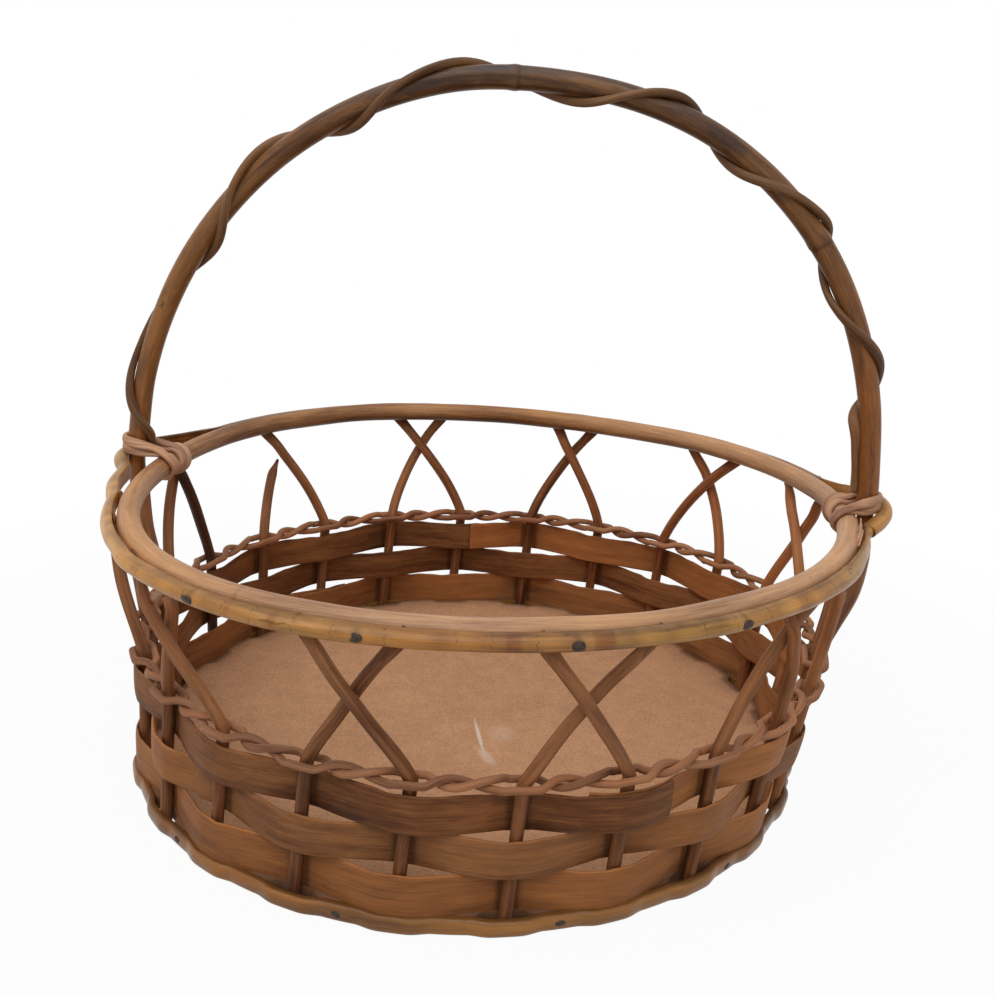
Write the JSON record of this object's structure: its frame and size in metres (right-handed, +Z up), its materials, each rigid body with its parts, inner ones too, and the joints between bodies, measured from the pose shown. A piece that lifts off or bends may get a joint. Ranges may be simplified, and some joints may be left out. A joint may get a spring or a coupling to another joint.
{
  "type": "rattan basket",
  "caption": "Round open basket with a board base, crossed cane stakes, flat splint rows, a hooped rim and a tall fixed hoop handle.",
  "frame": {"origin": "middle of the whole outline seen from above, on the surface that the basket stands on", "axes": "+Z up; -Y towards the front, the side that the picture shows; +X to the right, roughly along the handle's plane"},
  "size_m": [0.4028, 0.376, 0.3437],
  "materials": {
    "board": "matt hardboard, unsealed",
    "stake_cane": "stained round cane, satin",
    "splint": "flat split cane, satin",
    "strand_cane": "round core cane, matt",
    "peeled_cane": "peeled round cane, matt",
    "rind_cane": "half-round cane with its glossy rind outwards",
    "handle_cane": "stained round cane, satin",
    "nail": "dull dark wire nail"
  },
  "bodies": {
    "root": {"stake_01": "stake_cane", "stake_02": "stake_cane", "stake_03": "stake_cane", "stake_04": "stake_cane", "stake_05": "stake_cane", "stake_06": "stake_cane", "stake_07": "stake_cane", "stake_08": "stake_cane", "stake_09": "stake_cane", "stake_10": "stake_cane", "stake_11": "stake_cane", "stake_12": "stake_cane", "stake_13": "stake_cane", "stake_14": "stake_cane", "stake_15": "stake_cane", "stake_16": "stake_cane", "stake_17": "stake_cane", "stake_18": "stake_cane", "stake_19": "stake_cane", "stake_20": "stake_cane", "stake_21": "stake_cane", "stake_22": "stake_cane", "stake_23": "stake_cane", "stake_24": "stake_cane", "bottom_splint_row": "splint", "middle_splint_row": "splint", "top_splint_row_front": "splint", "top_splint_row_back": "splint", "twining_strand_a": "strand_cane", "twining_strand_b": "strand_cane", "base_board": "board", "base_hoop": "rind_cane", "base_nail_01": "nail", "base_nail_02": "nail", "base_nail_03": "nail", "base_nail_04": "nail", "base_nail_05": "nail", "base_nail_06": "nail", "base_nail_07": "nail", "base_nail_08": "nail", "base_nail_09": "nail", "base_nail_10": "nail", "base_nail_11": "nail", "base_nail_12": "nail", "inner_rim_hoop": "peeled_cane", "outer_rim_hoop": "rind_cane", "rim_nail_01": "nail", "rim_nail_02": "nail", "rim_nail_03": "nail", "rim_nail_04": "nail", "rim_nail_05": "nail", "rim_nail_06": "nail", "rim_nail_07": "nail", "rim_nail_08": "nail", "rim_nail_09": "nail", "rim_nail_10": "nail", "handle": "handle_cane", "handle_wrap": "strand_cane", "lashing_left": "strand_cane", "lashing_right": "strand_cane"}
  },
  "joints": []
}
